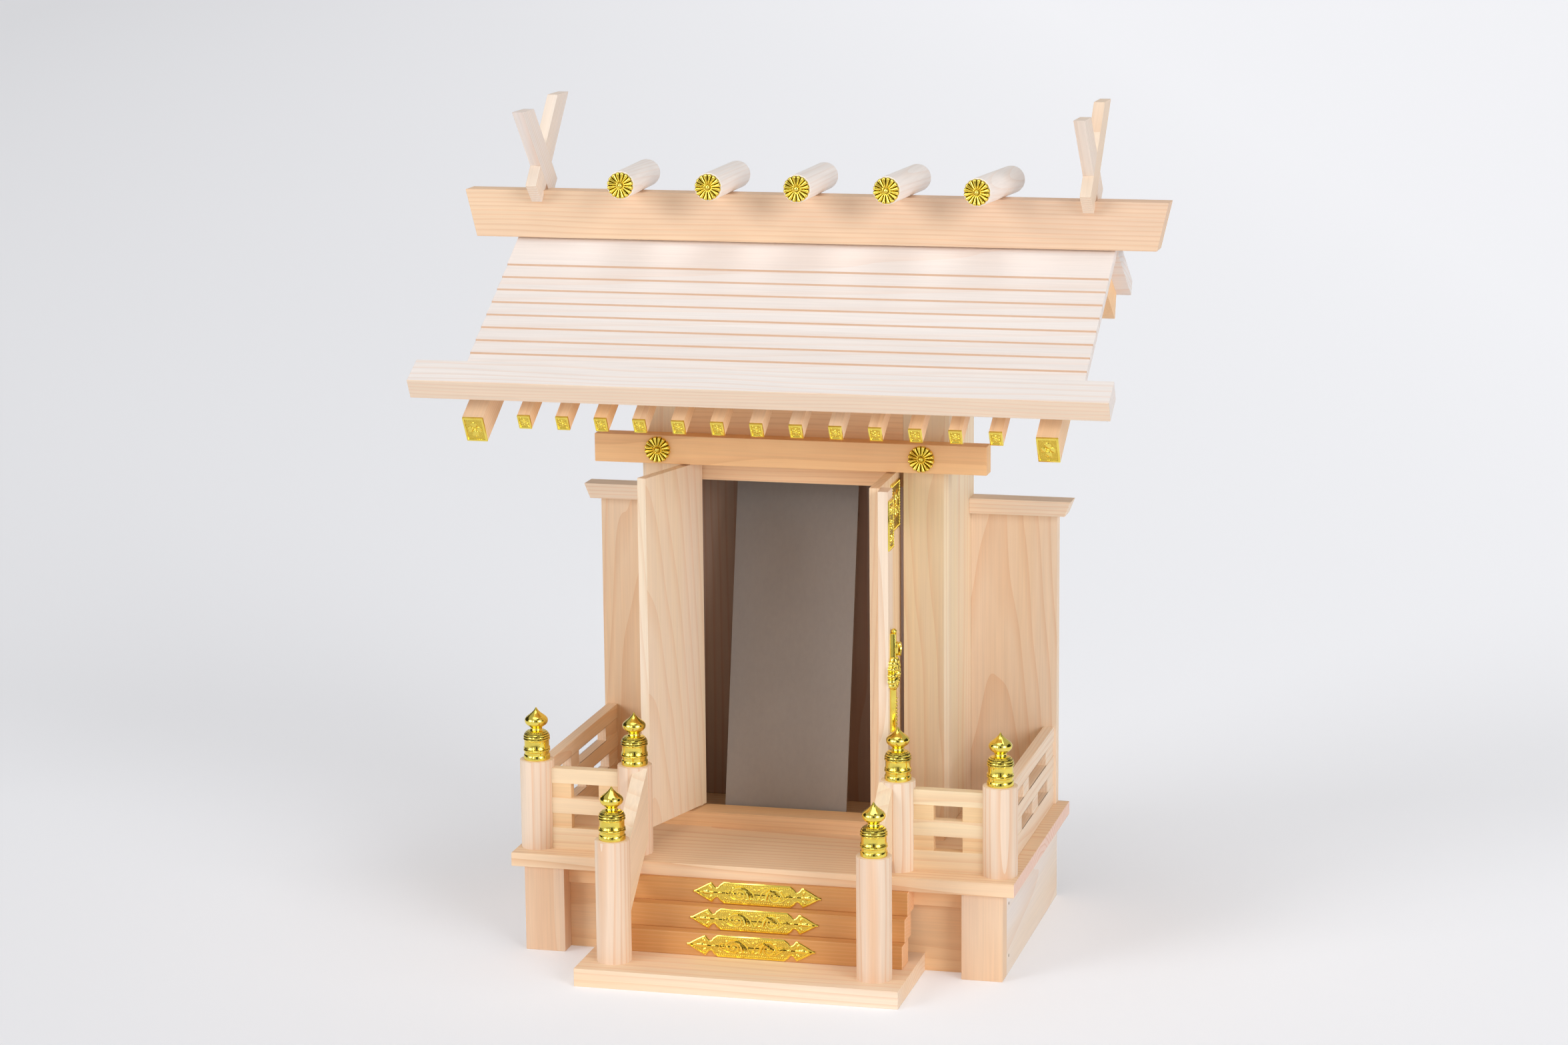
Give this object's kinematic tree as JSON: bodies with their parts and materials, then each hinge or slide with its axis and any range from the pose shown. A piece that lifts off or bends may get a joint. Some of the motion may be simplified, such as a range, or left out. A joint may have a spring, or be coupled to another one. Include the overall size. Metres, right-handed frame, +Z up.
{
  "type": "kamidana",
  "caption": "Small wooden house altar with a stepped gable roof, gold fittings, railed deck, stair and two hinged doors.",
  "frame": {"origin": "centre of the footprint box on the surface that the altar stands on", "axes": "+Z up, +Y to the back, doors and stair face -Y, the ridge runs along X"},
  "size_m": [0.3896, 0.2368, 0.4445],
  "materials": {
    "hinoki": "fine plain grain, unfinished",
    "gold": "bright plated",
    "paper": "matte paper"
  },
  "bodies": {
    "altar": {"base_board": "hinoki", "deck_board": "hinoki", "front_legs": "hinoki", "base_side_panels": "hinoki", "recess_panel": "hinoki", "recess_rail": "hinoki", "base_back_panel": "hinoki", "step_lower": "hinoki", "step_middle": "hinoki", "step_upper": "hinoki", "newel_posts": "hinoki", "front_balustrades": "hinoki", "side_balustrades": "hinoki", "stair_banisters": "hinoki", "front_jambs": "hinoki", "body_side_walls": "hinoki", "body_back_wall": "hinoki", "door_header": "hinoki", "door_sill": "hinoki", "wing_walls": "hinoki", "wing_caps": "hinoki", "front_beam": "hinoki", "rafters": "hinoki", "end_rafters": "hinoki", "front_roof": "hinoki", "rear_roof": "hinoki", "eave_fascia": "hinoki", "ridge_beam": "hinoki", "ridge_logs": "hinoki", "chigi_front_bars": "hinoki", "chigi_rear_bars": "hinoki", "step_plates": "gold", "newel_finials": "gold", "beam_rosettes": "gold", "rafter_caps": "gold", "end_rafter_caps": "gold", "log_caps": "gold", "talisman": "paper"},
    "left_leaf": {"left_door": "hinoki"},
    "right_leaf": {"right_door": "hinoki", "door_astragal": "hinoki", "door_lock": "gold", "right_door_plates": "gold"}
  },
  "joints": [
    {"name": "left_door_hinge", "type": "hinge", "parent": "altar", "child": "left_leaf", "pos_m": [-0.05502, 0.01906, 0.1585], "axis": [0, 0, 1], "range_deg": [-12, 106.2]},
    {"name": "right_door_hinge", "type": "hinge", "parent": "altar", "child": "right_leaf", "pos_m": [0.05502, 0.01906, 0.1585], "axis": [0, 0, 1], "range_deg": [-91.2, 0]}
  ]
}
